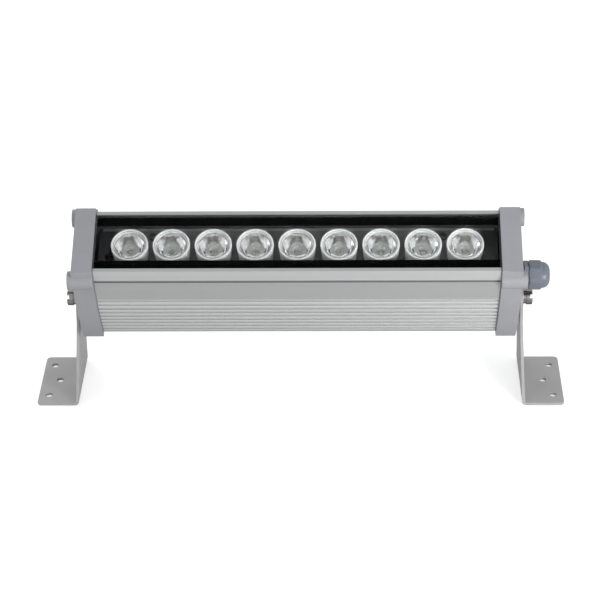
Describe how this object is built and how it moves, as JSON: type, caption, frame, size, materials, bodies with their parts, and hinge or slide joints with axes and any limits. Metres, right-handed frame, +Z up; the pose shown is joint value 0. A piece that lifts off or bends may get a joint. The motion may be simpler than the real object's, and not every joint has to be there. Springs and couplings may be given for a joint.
{
  "type": "outdoor wall washer light",
  "caption": "Outdoor wall washer: slim aluminium bar with lensed light sources behind flat glass, a side cable gland and bent foot brackets that let it tilt.",
  "frame": {"origin": "middle of the bounding box's bottom face, on the mounting surface midway between the feet", "axes": "+X along the lamp towards the cable gland, +Y away from the lamp's front, +Z up from the mounting surface"},
  "size_m": [0.3714, 0.0848, 0.1483],
  "materials": {
    "painted_sheet": "fine satin powder coat, grey",
    "anodised_aluminium": "satin clear anodised, with fine extrusion lines",
    "painted_casting": "smooth satin paint on a casting, cool grey",
    "front_glass": "polished tempered glass",
    "black_print": "glossy black enamel under the glass",
    "black_rubber": "matt silicone",
    "grey_rubber": "matt grey silicone",
    "board_black": "satin black solder mask on an aluminium board",
    "led_yellow": "yellow phosphor under a clear dome",
    "clear_lens": "polished clear acrylic",
    "holder_white": "smooth white moulding",
    "steel": "bright turned stainless steel",
    "potting_black": "satin case filled with resin",
    "heat_pad": "matt silicone pad",
    "wire_red": "smooth insulation",
    "wire_black": "smooth insulation",
    "terminal_cream": "smooth moulding",
    "gland_grey": "satin moulded nylon, blue grey"
  },
  "bodies": {
    "brackets": {"bracket_left": "painted_sheet", "bracket_right": "painted_sheet", "flat_washers": "steel", "spring_washers": "steel"},
    "lamp": {"housing": "anodised_aluminium", "end_cap_left": "painted_casting", "end_cap_right": "painted_casting", "cap_gasket_left": "grey_rubber", "cap_gasket_right": "grey_rubber", "glass_pane": "front_glass", "glass_print": "black_print", "glass_seal": "black_rubber", "led_board": "board_black", "led_packages": "led_yellow", "led_lenses": "clear_lens", "lens_holders": "holder_white", "board_screws": "steel", "driver_module": "potting_black", "driver_pad": "heat_pad", "driver_leads": "wire_red", "terminal_block": "terminal_cream", "led_leads": "wire_black", "wire_grommet": "black_rubber", "gland_gasket": "black_rubber", "gland_body": "gland_grey", "gland_insert": "black_rubber", "gland_locknut": "gland_grey", "cap_screws": "steel", "pivot_insert_left": "steel", "pivot_insert_right": "steel"},
    "clamp_screw_left": {"pivot_screw_left": "steel"},
    "clamp_screw_right": {"pivot_screw_right": "steel"},
    "dome_nut": {"gland_nut": "gland_grey"}
  },
  "joints": [
    {"name": "lamp_tilt", "type": "hinge", "parent": "brackets", "child": "lamp", "pos_m": [0, 0.01312, 0.072], "axis": [1, 0, 0], "range_deg": [-131, 79]},
    {"name": "clamp_turn_left", "type": "hinge", "parent": "lamp", "child": "clamp_screw_left", "pos_m": [-0.157, 0.01312, 0.072], "axis": [-1, 0, 0], "range_deg": [0, 360]},
    {"name": "clamp_turn_right", "type": "hinge", "parent": "lamp", "child": "clamp_screw_right", "pos_m": [0.157, 0.01312, 0.072], "axis": [1, 0, 0], "range_deg": [0, 360]},
    {"name": "dome_nut_turn", "type": "hinge", "parent": "lamp", "child": "dome_nut", "pos_m": [0.164, 0.00098, 0.0969], "axis": [1, 0, 0], "range_deg": [0, 360]}
  ]
}
